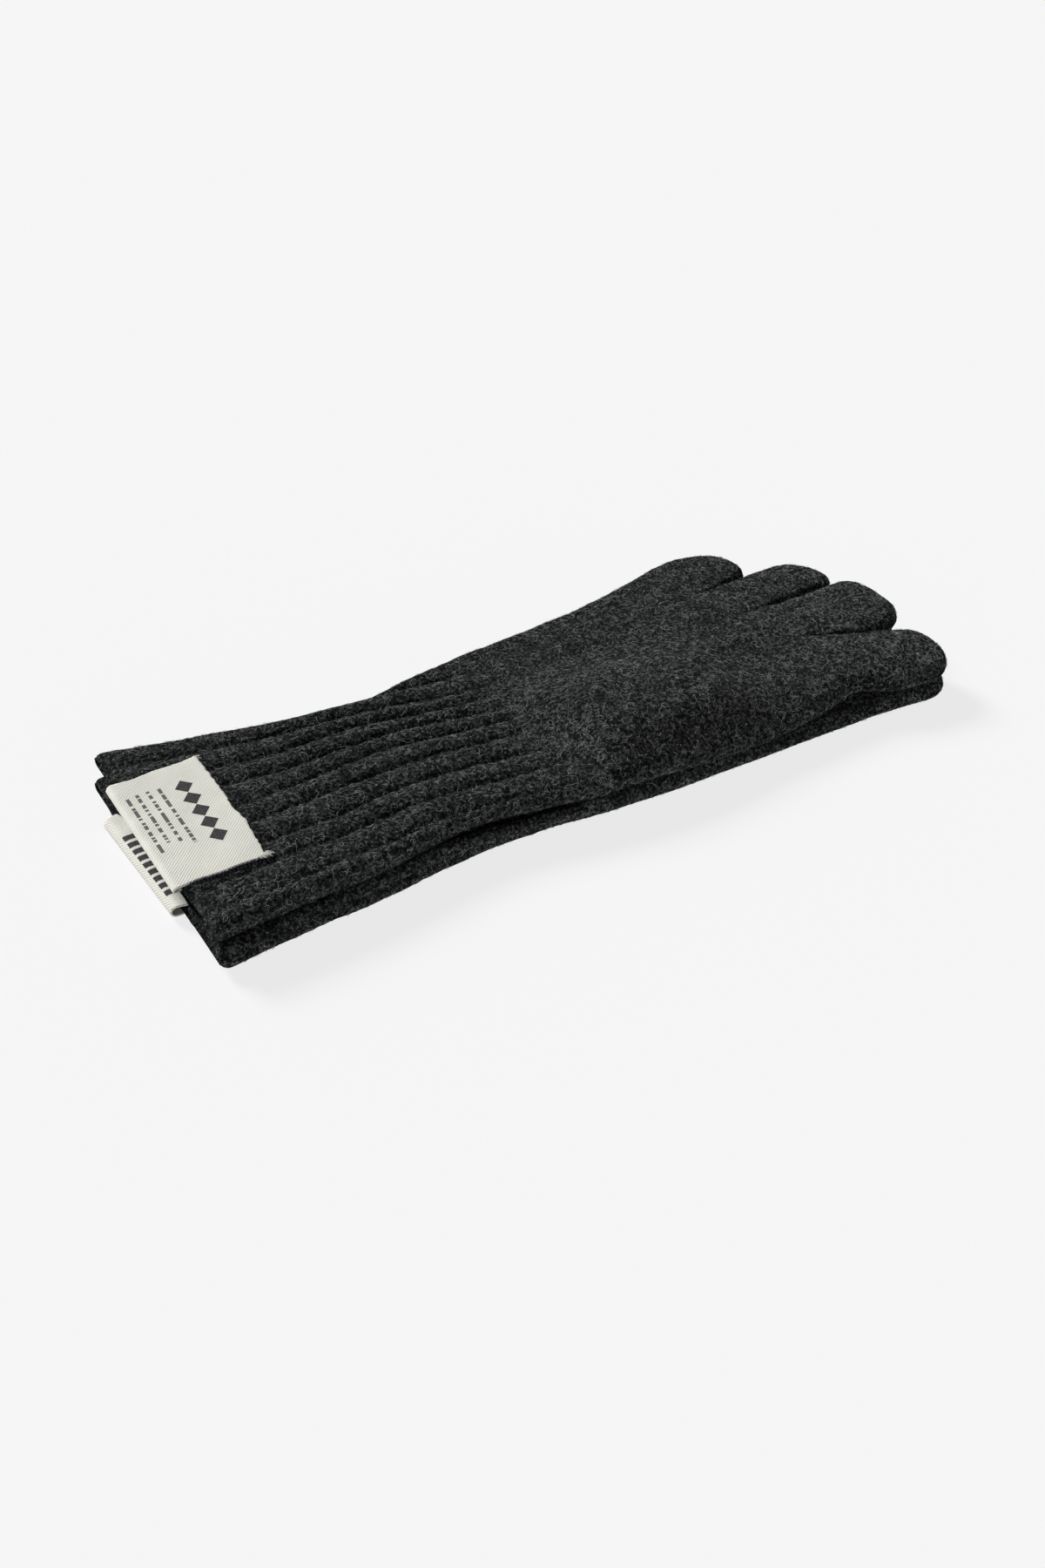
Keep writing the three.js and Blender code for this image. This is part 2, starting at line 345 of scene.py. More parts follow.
def tube(name, ring_at, outer_places, inner_places, closed_tip=False):
    """A hollow knitted tube. ring_at(place, inside) gives one ring of points. An open tube's outer and inner
    rings are joined at both ends; a closed one's at its root, and each is capped at its tip."""
    outer = [ring_at(p, False) for p in outer_places]
    inner = [ring_at(p, True) for p in inner_places]
    count = len(outer[0])
    if closed_tip:
        rings = inner[::-1] + outer
        faces = grid_faces(len(rings), count).tolist()
        points = np.concatenate(rings)
        first = points[:count].mean(0)
        last = points[-count:].mean(0)
        n = len(points)
        points = np.concatenate([points, [first, last]])
        base = (len(rings) - 1) * count
        for i in range(count):
            j = (i + 1) % count
            faces.append((n, j, i))
            faces.append((n + 1, base + i, base + j))
        around = np.tile(np.arange(count), len(rings)).tolist() + [0, 0]
    else:
        rings = outer + inner[::-1]
        faces = grid_faces(len(rings), count).tolist()
        last = (len(rings) - 1) * count
        for i in range(count):
            j = (i + 1) % count
            faces.append((last + i, last + j, j, i))
        points = np.concatenate(rings)
        around = np.tile(np.arange(count), len(rings)).tolist()
    uv = np.stack([points[:, 0], np.array(around) * STEP], 1)
    ob = face_out(new_mesh(name, points, faces, uv))
    first_outer = len(inner) * count if closed_tip else 0
    seams = [(first_outer, count)] if outer_places[0] > CUFF_EDGE else []
    if not closed_tip:
        seams.append(((len(outer) - 1) * count, count))
    return crease(ob, seams)


def roughen(points, normals, size=0.12):
    """Small unevenness of the felted yarn, pushed out along the normals."""
    x, y, z = points.T
    bumps = noise(x / 1.3, y / 1.3, z / 1.3) + 0.6 * noise(x / 0.62 + 9, y / 0.62, z / 0.62)
    waves = noise(x / 6.5, y / 5.5, z / 6.5)
    points = points + normals * (size * bumps + 0.16 * waves)[:, None]
    points[:, 2] = np.maximum(points[:, 2], 0.05)
    return points


TOP_POINTS, SIDE_POINTS = 110, 14  # points of a cuff's or hand's section, along its top and round a side


def wide_section(half_width, half):
    """A cuff's or hand's section, with each point's distance round it from the middle of its top face, and
    the distance all the way round."""
    y, z, ny, nz = section(half_width, half, half * 0.98, TOP_POINTS, SIDE_POINTS)
    step = np.hypot(np.diff(np.append(y, y[0])), np.diff(np.append(z, z[0])))
    around = np.concatenate([[0], np.cumsum(step)[:-1]])
    return y, z, ny, nz, around - around[TOP_POINTS // 2], step.sum()


def cuff_ring(glove):
    def ring_at(u, inside):
        low, high = float(near_edge[glove](u)), float(far_edge[glove](u))
        inset = HAND_WALL if inside else 0.0
        half_width = (high - low) / 2 - inset
        half = HAND_THICK / 2 - inset
        mouth = max(0.0, 1 - (u - CUFF_EDGE) / 3.4)
        if inside:
            half = mix(1.5, 1.75, float(smooth(u, 0, 26)))
            half_width += 0.6 * mouth
        else:
            pull = 1 - math.sqrt(max(0.0, 1 - mouth * mouth))
            half -= 2.0 * pull
            half_width -= 1.5 * pull
        half -= 0.0 if inside else 0.35 * (1 - float(smooth(u, 0, 40)))
        y, z, ny, nz, around, total = wide_section(half_width, half)
        centre = (low + high) / 2
        normals = np.stack([np.zeros_like(ny), ny, nz], 1)
        if not inside:
            ribs = rib_height(glove, u, around, total, centre) * (1 - 0.55 * mouth)
            y = y + ny * ribs
            z = z + nz * ribs
        v = centre + y
        points = np.stack([np.full_like(v, u), v, middle_height(glove, u, v) + z], 1)
        if glove == LOWER:
            points[:, 0] -= 1.9 * smooth(v, -34, 34) * (1 - float(smooth(u, -2, 40)))
            parted = smooth(v, -25, -17) * (1 - smooth(v, 24, 31)) * smooth(z, 0.3, 2.2)
            points[:, 0] += 5.4 * parted * (1 - float(smooth(u, -1, 16)))
        if inside:
            return points
        wobble = 0.5 * noise(v / 9, z / 9, 5.0 if glove == UPPER else 15.0) * (1 - smooth(u, 0, 9))
        points[:, 0] += wobble
        return roughen(points, normals)

    return ring_at


def hand_ring(glove):
    def ring_at(u, inside):
        low, high = float(near_edge[glove](u)), float(far_edge[glove](u))
        inset = HAND_WALL if inside else 0.0
        half_width = (high - low) / 2 - inset
        half = HAND_THICK / 2 - inset
        y, z, ny, nz, around, total = wide_section(half_width, half)
        centre = (low + high) / 2
        normals = np.stack([np.zeros_like(ny), ny, nz], 1)
        if not inside:
            ribs = rib_height(glove, u, around, total, centre)
            y = y + ny * ribs
            z = z + nz * ribs
        v = centre + y
        points = press(glove, np.stack([np.full_like(v, u), v, middle_height(glove, u, v) + z], 1))
        return points if inside else roughen(points, normals)

    return ring_at


def stall_ring(glove, finger):
    i = FINGERS.index(finger)
    tip, rounding, square, slant = STALLS[finger]
    high_line = outer_sides[glove]["little"] if i == 0 else partings[i - 1]
    low_line = outer_sides[glove]["index"] if i == 3 else partings[i]
    open_high, open_low = i == 0, i == 3
    tops = {"little": 36, "ring": 32, "middle": 38, "index": 58}
    parts_from = {"little": (209, 226), "ring": (213, 238), "middle": (220, 246), "index": (228, 252)}[finger]

    def ring_at(u, inside):
        inset = HAND_WALL if inside else 0.0
        end = tip - inset * 1.5
        past = min(1.0, max(0.0, (u - (end - rounding)) / rounding))
        width_left = (1 - past**square) ** (1 / square)
        thick_left = (1 - past**3.2) ** (1 / 2.2)
        low, high = float(low_line(u)), float(high_line(u))
        if finger == "index":
            high -= 3.6 * float(smooth(u, 242, 262))
        full = (high - low) / 2
        half_width = max((full - inset) * width_left, 0.25)
        half = max((HAND_THICK / 2 - inset) * thick_left, 0.12)
        loose = float(smooth(u, *parts_from))
        radius = half * (0.98 if not inside else 0.9) * mix(0.0, 1.0, loose)
        y, z, ny, nz = section(half_width, half, radius, tops[finger], 12)
        if not inside and (open_high or open_low):
            ry, rz, rny, rnz = section(half_width, half, half * 0.98, tops[finger], 12)
            side = ry > 0 if open_high else ry < 0
            blend_in = np.where(side, 1.0, 0.0) * (1 - loose)
            y, z, ny, nz = (a + (b - a) * blend_in for a, b in zip((y, z, ny, nz), (ry, rz, rny, rnz)))
        centre = (low + high) / 2
        if not inside:
            swelling = float(smooth(u, ROOT + 1, 234)) * thick_left
            crown = swelling * (1.5 * (1 - (y / max(half_width, 1e-6)) ** 2) - 0.8)
            z = z + np.where(z > 0, crown, -0.2 * crown)
        v = centre + y
        height = middle_height(glove, u, v)
        if glove == UPPER:
            order = {"little": -0.3, "ring": 0.0, "middle": 0.7, "index": 0.9}[finger]
            height = height + order * float(smooth(u, ROOT + 1, 230))
        reach = u - slant * y / full * float(smooth(u, tip - 28, tip - 4))
        points = press(glove, np.stack([reach, v, height + z], 1))
        if inside:
            return points
        length = np.maximum(np.hypot(ny, nz), 1e-6)
        normals = np.stack([np.zeros_like(ny), ny / length, nz / length], 1)
        return roughen(points, normals)

    return ring_at


def places(start, end, step):
    return np.linspace(start, end, max(2, int(round((end - start) / step)) + 1))


def cuff(glove):
    lips = CUFF_EDGE + np.array([0.0, 0.12, 0.35, 0.7, 1.15, 1.7, 2.3, 3.0])
    outer = np.concatenate([lips, places(3.4, WRIST, STEP)])
    inner = np.concatenate([CUFF_EDGE + np.array([0.0, 0.6, 1.6]), places(4, WRIST, COARSE)])
    return tube(f"{glove}_cuff_knit", cuff_ring(glove), outer, inner)


def hand(glove):
    outer, inner = places(WRIST, ROOT, STEP), places(WRIST, ROOT, COARSE)
    return tube(f"{glove}_hand_knit", hand_ring(glove), outer, inner)


def stall(glove, finger):
    tip, rounding = STALLS[finger][:2]
    straight = places(ROOT, tip - rounding, STEP)
    angles = np.linspace(0, math.pi / 2, 22)[1:]
    turned = tip - rounding * (1 - np.sin(angles))
    inner_tip = tip - 1.5 * HAND_WALL
    inner = np.concatenate([
        places(ROOT, inner_tip - rounding, COARSE),
        inner_tip - rounding * (1 - np.sin(np.linspace(0, math.pi / 2, 6)[1:])),
    ])
    outer = np.concatenate([straight, turned])
    return tube(f"{glove}_{finger}_stall_knit", stall_ring(glove, finger), outer, inner, closed_tip=True)


def thumb(glove):
    """A thumb stall folded flat between the palms."""
    length, root_width, tip_width = 46.0, 21.0, 17.0
    gaps, layers = (1, 0.5) if glove == LOWER else (2, 1.5)
    height = HAND_THICK + gaps * TOUCH + layers * THUMB_THICK
    turn = 0.09
    angles = np.linspace(0, math.pi / 2, 16)
    along = np.concatenate([
        3.5 * (1 - np.sin(angles[::-1]))[:-1],
        places(3.5, length - 8.5, STEP),
        (length - 8.5 * (1 - np.sin(angles)))[1:],
    ])
    rings = []
    for a in along:
        end = math.sqrt(max(0.0, 1 - max(0.0, (a - (length - 8.5)) / 8.5) ** 2))
        start = math.sqrt(max(0.0, 1 - max(0.0, (3.5 - a) / 3.5) ** 2))
        left = max(0.02, min(end, start))
        half_width = mix(root_width, tip_width, a / length) / 2 * mix(0.25, 1, left)
        half = max(THUMB_THICK / 2 * left**0.6, 0.05) * 0.96
        y, z, ny, nz = section(half_width, half, half * 0.98, 30, 6)
        z = z * (1 - 0.16 * np.exp(-((np.abs(y) - half_width * 0.45) / 2.5) ** 2))
        u = 133 + a * math.cos(turn) - y * math.sin(turn)
        v = -22 + a * math.sin(turn) + y * math.cos(turn)
        points = np.stack([u, v, height + z], 1)
        normals = np.stack([np.zeros_like(ny), ny, nz], 1)
        rings.append(roughen(points, normals, 0.06))
    count = len(rings[0])
    points = np.concatenate(rings)
    faces = grid_faces(len(rings), count).tolist()
    n = len(points)
    points = np.concatenate([points, [rings[0].mean(0), rings[-1].mean(0)]])
    base = (len(rings) - 1) * count
    for i in range(count):
        j = (i + 1) % count
        faces.append((n, j, i))
        faces.append((n + 1, base + i, base + j))
    uv = np.stack([points[:, 0], np.append(np.tile(np.arange(count), len(rings)), [0, 0]) * STEP], 1)
    return face_out(new_mesh(f"{glove}_thumb_knit", points, faces, uv))


def fuzz(ob, density, keep, seed):
    """Fine curled fibres on a knitted piece, density to the square millimetre, where keep(places, outward
    directions) is true."""
    draw = np.random.default_rng(seed)
    mesh = ob.data
    co = np.zeros(len(mesh.vertices) * 3)
    mesh.vertices.foreach_get("co", co)
    co = (co.reshape(-1, 3) - np.array(ORIGIN)) / MM
    mesh.calc_loop_triangles()
    tri = np.zeros(len(mesh.loop_triangles) * 3, np.int32)
    mesh.loop_triangles.foreach_get("vertices", tri)
    tri = tri.reshape(-1, 3)
    a, b, c = (co[tri[:, k]] for k in range(3))
    cross = np.cross(b - a, c - a)
    area = np.linalg.norm(cross, axis=1) / 2
    out = cross / np.maximum(2 * area, 1e-9)[:, None]
    area = area * keep((a + b + c) / 3, out)
    count = int(density * area.sum())
    chosen = draw.choice(len(area), count, p=area / area.sum())
    w = np.sqrt(draw.uniform(0, 1, count))[:, None]
    w2 = draw.uniform(0, 1, count)[:, None]
    start = a[chosen] * (1 - w) + b[chosen] * w * (1 - w2) + c[chosen] * w * w2
    up = out[chosen]
    tree = BVHTree.FromPolygons(co.tolist(), tri.tolist())
    t = np.linspace(0, 1, FIBRE_STEPS + 1)
    length = np.clip(draw.lognormal(0.85, 0.45, count), 1.0, 8.0)[:, None]
    heading = draw.uniform(0, 2 * math.pi, count)[:, None]
    bend = draw.normal(0, 2.3, count)[:, None]
    swing = draw.normal(0, 1.1, count)[:, None]
    angle = heading + bend * t + swing * np.sin(2 * math.pi * t)
    side = np.cross(up, np.array([0.24, 0.93, 0.28]))
    side /= np.linalg.norm(side, axis=1)[:, None]
    over = np.cross(up, side)
    turn = (np.cos(angle)[..., None] * side[:, None] + np.sin(angle)[..., None] * over[:, None])
    path = start[:, None] + np.cumsum(turn * (length / FIBRE_STEPS)[..., None], 1)
    free = draw.uniform(0, 1, count)[:, None] < 0.4
    rise = draw.uniform(0.10, 0.42, count)[:, None]
    height = np.where(free, 1.4 * rise * t**0.8, rise * np.sin(math.pi * t) ** 0.7) - 0.06
    flat = path.reshape(-1, 3)
    flat_out = np.repeat(up, FIBRE_STEPS + 1, axis=0)
    high = height.ravel()
    for i in range(len(flat)):
        place, normal, _, _ = tree.find_nearest(flat[i])
        if place is not None:
            if normal.dot(Vector(flat_out[i])) < 0:
                normal = Vector(flat_out[i])
            flat[i] = place + normal * high[i]
    path = flat.reshape(count, FIBRE_STEPS + 1, 3)
    along = np.gradient(path, axis=1)
    along /= np.maximum(np.linalg.norm(along, axis=2)[..., None], 1e-6)
    first = np.cross(along, np.array([0.13, 0.22, 0.97]))
    first /= np.maximum(np.linalg.norm(first, axis=2)[..., None], 1e-6)
    second = np.cross(along, first)
    radius = (draw.uniform(0.038, 0.062, count)[:, None] * (1 - 0.55 * t**2))[..., None]
    sides = [path + radius * (math.cos(q) * first + math.sin(q) * second)
             for q in (0, 2 * math.pi / 3, 4 * math.pi / 3)]
    points = np.stack(sides, 2).reshape(-1, 3)
    points[:, 2] = np.maximum(points[:, 2], 0.03)
    per = 3 * (FIBRE_STEPS + 1)
    one = []
    for r in range(FIBRE_STEPS):
        for k in range(3):
            j = (k + 1) % 3
            one.append((3 * r + k, 3 * r + j, 3 * r + 3 + j))
            one.append((3 * r + k, 3 * r + 3 + j, 3 * r + 3 + k))
    one += [(2, 1, 0), (per - 3, per - 2, per - 1)]
    faces = (np.array(one)[None] + (np.arange(count) * per)[:, None, None]).reshape(-1, 3)
    hairs = face_out(new_mesh(ob.name.replace("_knit", "_fibres"), points, faces.tolist()))
    kinds = draw.choice(3, count, p=(0.50, 0.30, 0.20))
    for material in FIBRE:
        hairs.data.materials.append(material)
    hairs.data.polygons.foreach_set("material_index", np.repeat(kinds, len(one)).astype(np.int32))
    return hairs


LABEL = {
    UPPER: {"outer": 24.5, "inner": 9.0, "edge": -4.0, "far": 28.2, "near": -24.8, "bend": 1.5},
    LOWER: {"outer": 24.5, "inner": 9.0, "edge": -6.5, "far": 28.7, "near": -20.6, "bend": 2.4},
}


def label_path(glove, count_step=0.5):
    """The folded strip's middle line: along, height over the cuff's face, outward along and up, length."""
    strip = LABEL[glove]
    bend = strip["bend"]
    bend_at = strip["edge"] + bend
    flat_out = strip["outer"] - bend_at
    turn = math.pi * bend
    total = flat_out + turn + strip["inner"] - bend_at
    rows = []
    for s in np.linspace(0, total, int(total / count_step) + 1):
        if s < flat_out:
            rows.append((strip["outer"] - s, 0.0, 0.0, 1.0, s))
        elif s < flat_out + turn:
            a = (s - flat_out) / bend
            rows.append((bend_at - bend * math.sin(a), bend * (math.cos(a) - 1),
                         -math.sin(a), math.cos(a), s))
        else:
            rows.append((bend_at + s - flat_out - turn, -2 * bend, 0.0, -1.0, s))
    return np.array(rows)


def label_height(glove, u, v):
    """Middle of the outer leaf's thickness."""
    if glove == UPPER:
        face = middle_height(glove, np.maximum(u, 0), v) + HAND_THICK / 2 - 0.35 * (1 - smooth(u, 0, 40))
        return face + 0.62 + 0.16 * noise(u / 7, v / 6, 2.2)
    return 0.36 + 0.04 * noise(u / 7, v / 6, 8.2)


def label(glove):
    """The woven label, folded over the cuff's edge: the upper glove's on its top face, the lower glove's
    under its lower face."""
    path = label_path(glove)
    strip = LABEL[glove]
    across = np.arange(strip["near"], strip["far"] + 0.01, 0.5)
    up = 1.0 if glove == UPPER else -1.0
    u = path[:, 0][:, None] + 0 * across[None, :]
    v = across[None, :] + 0 * u
    s = path[:, 4][:, None] + 0 * v
    seed = 3.0 if glove == UPPER else 13.0
    total = path[-1, 4]
    ends = np.exp(-s / 2.5) - np.exp(-(total - s) / 2.5)
    u = u + ends * (0.9 * noise(v / 8, seed, 1.0) + 0.25 * noise(v / 1.1, seed, 4.0))
    sides = np.exp(-(v - strip["near"]) / 1.5) - np.exp(-(strip["far"] - v) / 1.5)
    v = v + sides * (0.35 * noise(s / 7, seed, 6.0) + 0.12 * noise(s / 0.9, seed, 9.0))
    folded = smooth(s, strip["outer"] - strip["edge"] - strip["bend"], path[-1, 4] - strip["inner"])
    hidden = folded if glove == UPPER else 1 - folded
    v = v + 2.2 * hidden * (1 - smooth(v, strip["near"], strip["near"] + 12))
    if glove == LOWER:
        u = u + 2.5 * (strip["far"] - v) / (strip["far"] - strip["near"])
    height = label_height(glove, np.maximum(u, -1.0), v) + up * path[:, 1][:, None]
    height = height + up * 0.5 * np.exp(-s / 3.0) * (0.4 + 0.6 * noise(v / 6, seed, 12.0))
    middle = np.stack([u, v, height], -1)
    out = np.stack([path[:, 2][:, None] + 0 * v, 0 * v, up * path[:, 3][:, None] + 0 * v], -1)
    face = middle + out * LABEL_THICK / 2
    back = middle - out * LABEL_THICK / 2
    rows, columns = u.shape
    points = np.concatenate([face.reshape(-1, 3), back.reshape(-1, 3)])
    uv = np.concatenate([np.stack([s, v], -1).reshape(-1, 2)] * 2)
    grid = grid_faces(rows, columns, closed=False)
    half = rows * columns
    faces = grid.tolist() + (grid[:, ::-1] + half).tolist()
    ring = list(range(columns))
    ring += [r * columns + columns - 1 for r in range(1, rows)]
    ring += [(rows - 1) * columns + i for i in range(columns - 2, -1, -1)]
    ring += [r * columns for r in range(rows - 2, 0, -1)]
    for a, b in zip(ring, ring[1:] + ring[:1]):
        faces.append((b, a, a + half, b + half))
    return face_out(new_mesh(f"{glove}_label_twill", points, faces, uv))


def threads(name, paths, radius, sides=6):
    """Closed round threads along paths of points."""
    points, faces, uv = [], [], []
    for path in paths:
        path = np.asarray(path, float)
        along = np.gradient(path, axis=0)
        along /= np.linalg.norm(along, axis=1)[:, None]
        helper = np.array([0.0, 0.0, 1.0]) if abs(along[:, 2]).max() < 0.9 else np.array([0.31, 0.95, 0.0])
        side = np.cross(along, helper)
        side /= np.maximum(np.linalg.norm(side, axis=1)[:, None], 1e-6)
        over = np.cross(side, along)
        first = len(points)
        count = len(path)
        for i in range(count):
            t = i / (count - 1)
            r = radius * (0.25 + 0.75 * math.sin(math.pi * min(max(t, 0.04), 0.96)) ** 0.4)
            for k in range(sides):
                a = 2 * math.pi * k / sides
                points.append(path[i] + r * (math.cos(a) * side[i] + math.sin(a) * over[i]))
                uv.append((i, k))
        for i in range(count - 1):
            for k in range(sides):
                j = (k + 1) % sides
                faces.append((first + i * sides + k, first + i * sides + j,
                              first + (i + 1) * sides + j, first + (i + 1) * sides + k))
        faces.append(tuple(first + k for k in range(sides))[::-1])
        faces.append(tuple(first + (count - 1) * sides + k for k in range(sides)))
    return face_out(new_mesh(name, np.array(points), faces, np.array(uv, float)))


def seam(glove, end):
    """A row of whip stitches through the label and the cuff."""
    edge, way = (LABEL[glove]["far"], 1.0) if end == "far" else (LABEL[glove]["near"], -1.0)
    draw = np.random.default_rng(3 if end == "far" else 4)
    paths = []
    for u in np.arange(0.8, 24.2, 1.15):
        u = u + draw.uniform(-0.2, 0.2)
        t = np.linspace(0, 1, 9)
        v = edge + way * mix(-1.0, 1.25, t)
        hump = np.sin(math.pi * t)
        if glove == UPPER:
            z = label_height(glove, u, edge) - 0.55 + (0.9 * hump - 0.25 * t - 0.15)
        else:
            z = 0.62 + 0.45 * t - 0.32 * hump
        paths.append(np.stack([u + 0.55 * (t - 0.5) * draw.uniform(0.6, 1.4), v, z + 0 * t], 1))
    return threads(f"{glove}_label_seam_{end}_stitches", paths, 0.24)


def fray(glove):
    """Loose warp threads at the label's cut corners."""
    up = 1.0 if glove == UPPER else -1.0
    draw = np.random.default_rng(9)
    paths = []
    for corner, count in ((LABEL[glove]["near"], 34), (LABEL[glove]["far"], 20)):
        way = 1.0 if corner > 0 else -1.0
        for _ in range(count):
            u0 = LABEL[glove]["outer"] - draw.uniform(-0.2, 3.2)
            v0 = corner - way * draw.uniform(0.0, 1.6)
            heading = draw.uniform(-0.5, 1.1)
            reach = draw.uniform(1.1, 2.6)
            t = np.linspace(0, 1, 6)
            u = u0 + reach * t * math.cos(heading)
            v = v0 + way * reach * t * math.sin(max(heading, 0.2)) + 0.25 * np.sin(4 * t + heading)
            z = label_height(glove, u0, v0) + up * (0.15 + 0.25 * draw.uniform(0, 1) * np.sin(math.pi * t))
            paths.append(np.stack([u, v, z], 1))
    return threads(f"{glove}_label_fray", paths, 0.13, 5)


# ---------------------------------------------------------------------------
# Materials
# ---------------------------------------------------------------------------
class Nodes:
    """Builds one material's node tree."""

    def __init__(self, name):
        self.material = bpy.data.materials.new(name)
        self.material.use_nodes = True
        self.tree = self.material.node_tree
        self.tree.nodes.clear()
        self.shader = self.tree.nodes.new("ShaderNodeBsdfPrincipled")
        out = self.tree.nodes.new("ShaderNodeOutputMaterial")
        self.tree.links.new(self.shader.outputs[0], out.inputs["Surface"])

    def put(self, kind, inputs=None, **settings):
        node = self.tree.nodes.new(kind)
        for key, value in settings.items():
            setattr(node, key, value)
        for key, value in (inputs or {}).items():
            socket = node.inputs[key]
            if isinstance(value, bpy.types.NodeSocket):
                self.tree.links.new(value, socket)
            else:
                socket.default_value = value
        return node

    def math(self, operation, a, b=None, c=None):
        inputs = {i: x for i, x in enumerate((a, b, c)) if x is not None}
        return self.put("ShaderNodeMath", inputs, operation=operation).outputs[0]

    def ramp(self, value, stops):
        node = self.put("ShaderNodeValToRGB", {"Fac": value})
        ramp = node.color_ramp
        while len(ramp.elements) < len(stops):
            ramp.elements.new(0.5)
        for element, (place, grey) in zip(ramp.elements, stops):
            element.position = place
            element.color = (grey, grey, grey, 1) if not hasattr(grey, "__len__") else (*grey, 1)
        return node.outputs[0]

    def link(self, output, socket):
        self.tree.links.new(output, self.shader.inputs[socket])


# Curled fibres seen as thin lines: the pattern's scale, the line's width, and a shift of the pattern
HAIRS = ((560.0, 0.022, 0.0), (760.0, 0.030, 0.31), (1050.0, 0.040, 0.57), (1350.0, 0.050, 0.83))


def wool(name, shade=1.0):
    """Felted marl wool: dark yarn with light and black fibres lying in every direction."""
    m = Nodes(name)
    place = m.put("ShaderNodeTexCoord").outputs["Object"]
    warp = m.put("ShaderNodeTexNoise", {"Vector": place, "Scale": 420.0, "Detail": 2.0}).outputs["Color"]
    warp = m.put("ShaderNodeVectorMath", {0: warp, 1: (0.5, 0.5, 0.5)}, operation="SUBTRACT").outputs[0]
    warp = m.put("ShaderNodeVectorMath", {0: warp, "Scale": 0.0016}, operation="SCALE").outputs[0]
    bent = m.put("ShaderNodeVectorMath", {0: place, 1: warp}, operation="ADD").outputs[0]
    hairs = None
    for scale, width, shift in HAIRS:
        moved = m.put("ShaderNodeVectorMath", {0: bent, 1: (shift, shift * 0.7, shift * 1.3)},
                      operation="ADD").outputs[0]
        field = m.put("ShaderNodeTexNoise", {"Vector": moved, "Scale": scale, "Detail": 0.0}).outputs[0]
        away = m.math("ABSOLUTE", m.math("SUBTRACT", field, 0.5))
        hair = m.ramp(away, [(0.0, 1.0), (width * 0.4, 0.8), (width, 0.0)])
        part = m.put("ShaderNodeTexNoise", {"Vector": moved, "Scale": scale * 0.55, "Detail": 0.0}).outputs[0]
        hair = m.math("MULTIPLY", hair, m.ramp(part, [(0.42, 0.05), (0.56, 1.0)]))
        hairs = hair if hairs is None else m.math("MAXIMUM", hairs, hair)
    mottle = m.put("ShaderNodeTexNoise", {"Vector": bent, "Scale": 1000.0, "Detail": 3.0,
                                          "Roughness": 0.7}).outputs[0]
    cloud = m.put("ShaderNodeTexNoise", {"Vector": place, "Scale": 190.0, "Detail": 3.0,
                                         "Roughness": 0.6}).outputs[0]
    patch = m.ramp(mottle, [(0.40, 0.0), (0.51, 0.12), (0.66, 1.0)])
    broad = m.ramp(cloud, [(0.3, 0.35), (0.7, 1.0)])
    value = m.math("MULTIPLY_ADD", hairs, 0.72, m.math("MULTIPLY", patch, 0.60))
    value = m.math("MULTIPLY", value, m.ramp(mottle, [(0.38, 0.02), (0.56, 1.0)]))
    value = m.math("MULTIPLY", value, broad)
    # Painted light: the yarn's colour is scaled from 0.84 at the cuff's edge up to 1.06 at the fingertips.
    # This painted lightening stands in for the light that falls more on the fingers; the yarn itself does not
    # change colour along the glove.
    along = m.put("ShaderNodeSeparateXYZ", {0: place}).outputs[0]
    reach = m.math("MULTIPLY_ADD", along, 1 / 0.27, 0.487)
    value = m.math("MULTIPLY", value, m.ramp(reach, [(0.0, 0.84), (0.44, 0.88), (0.68, 0.92), (0.95, 1.06)]))
    base = (0.0034 * shade, 0.0038 * shade, 0.0038 * shade)
    high = (0.225 * shade, 0.237 * shade, 0.232 * shade)
    colour = m.put("ShaderNodeMix", {"Factor": value, "A": (*base, 1), "B": (*high, 1)}, data_type="RGBA")
    colour.clamp_factor = False
    m.tree.links.new(colour.outputs[2], m.shader.inputs["Base Color"])
    height = m.math("ADD", m.math("MULTIPLY", hairs, 0.5), m.math("MULTIPLY", mottle, 1.4))
    bump = m.put("ShaderNodeBump", {"Height": height, "Strength": 0.9, "Distance": 0.0007})
    m.link(bump.outputs[0], "Normal")
    m.shader.inputs["Roughness"].default_value = 0.95
    m.shader.inputs["Specular IOR Level"].default_value = 0.0
    m.shader.inputs["Sheen Weight"].default_value = 0.02
    m.shader.inputs["Sheen Roughness"].default_value = 0.55
    m.shader.inputs["Sheen Tint"].default_value = (0.62, 0.66, 0.66, 1)
    return m.material


